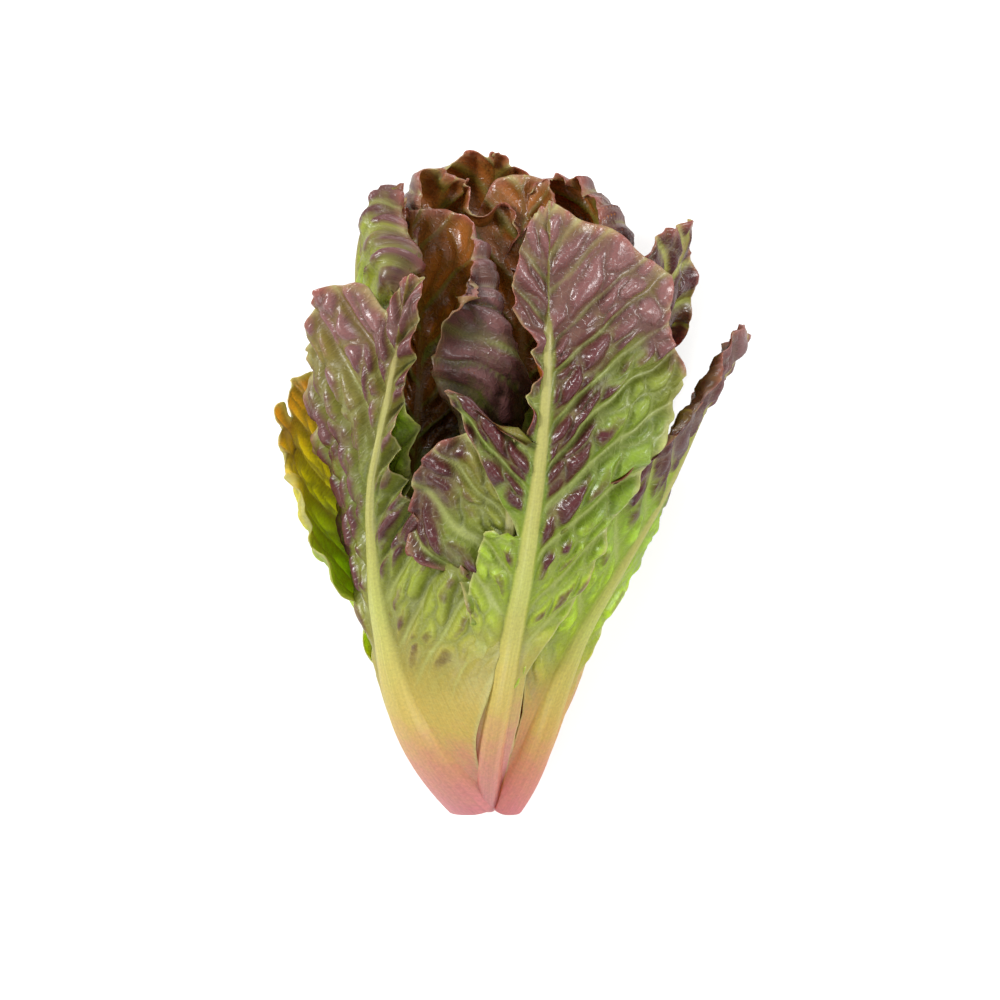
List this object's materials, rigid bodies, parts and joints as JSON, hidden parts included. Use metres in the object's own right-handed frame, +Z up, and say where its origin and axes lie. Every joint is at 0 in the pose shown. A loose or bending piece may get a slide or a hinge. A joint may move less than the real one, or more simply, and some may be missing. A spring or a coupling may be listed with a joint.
{
  "type": "romaine lettuce head",
  "caption": "Head of red romaine lettuce lying on its side, with a short cut core, pale ribs and long crinkled leaves.",
  "frame": {"origin": "centre of the head's box, on the surface that it lies on", "axes": "+Y along the head from the cut butt to the leaf tips, +Z up from the surface, +X to the right of the side that faces up"},
  "size_m": [0.1648, 0.2362, 0.1129],
  "materials": {
    "stem": "moist cut stem, cream at the cut face and pink at the rim",
    "outer_leaf": "waxy leaf with a soft gloss, green below and purple brown towards the tip",
    "inner_leaf": "waxy leaf with a soft gloss, orange brown and slightly see-through",
    "heart_leaf": "tender leaf with a soft gloss, yellow green"
  },
  "bodies": {
    "root": {"core": "stem", "leaf_front_right": "outer_leaf", "leaf_back": "outer_leaf", "leaf_back_left": "outer_leaf", "leaf_front_small": "outer_leaf", "leaf_right_front": "outer_leaf", "leaf_front_left": "outer_leaf", "leaf_right": "outer_leaf", "leaf_left": "outer_leaf", "leaf_back_right": "outer_leaf", "leaf_inner_top": "inner_leaf", "leaf_inner_back_left": "inner_leaf", "leaf_inner_right": "inner_leaf", "leaf_cup_left": "inner_leaf", "leaf_inner_back": "inner_leaf", "leaf_heart_top": "heart_leaf", "leaf_heart_left": "heart_leaf", "leaf_heart_right": "heart_leaf", "leaf_bud": "heart_leaf"}
  },
  "joints": []
}
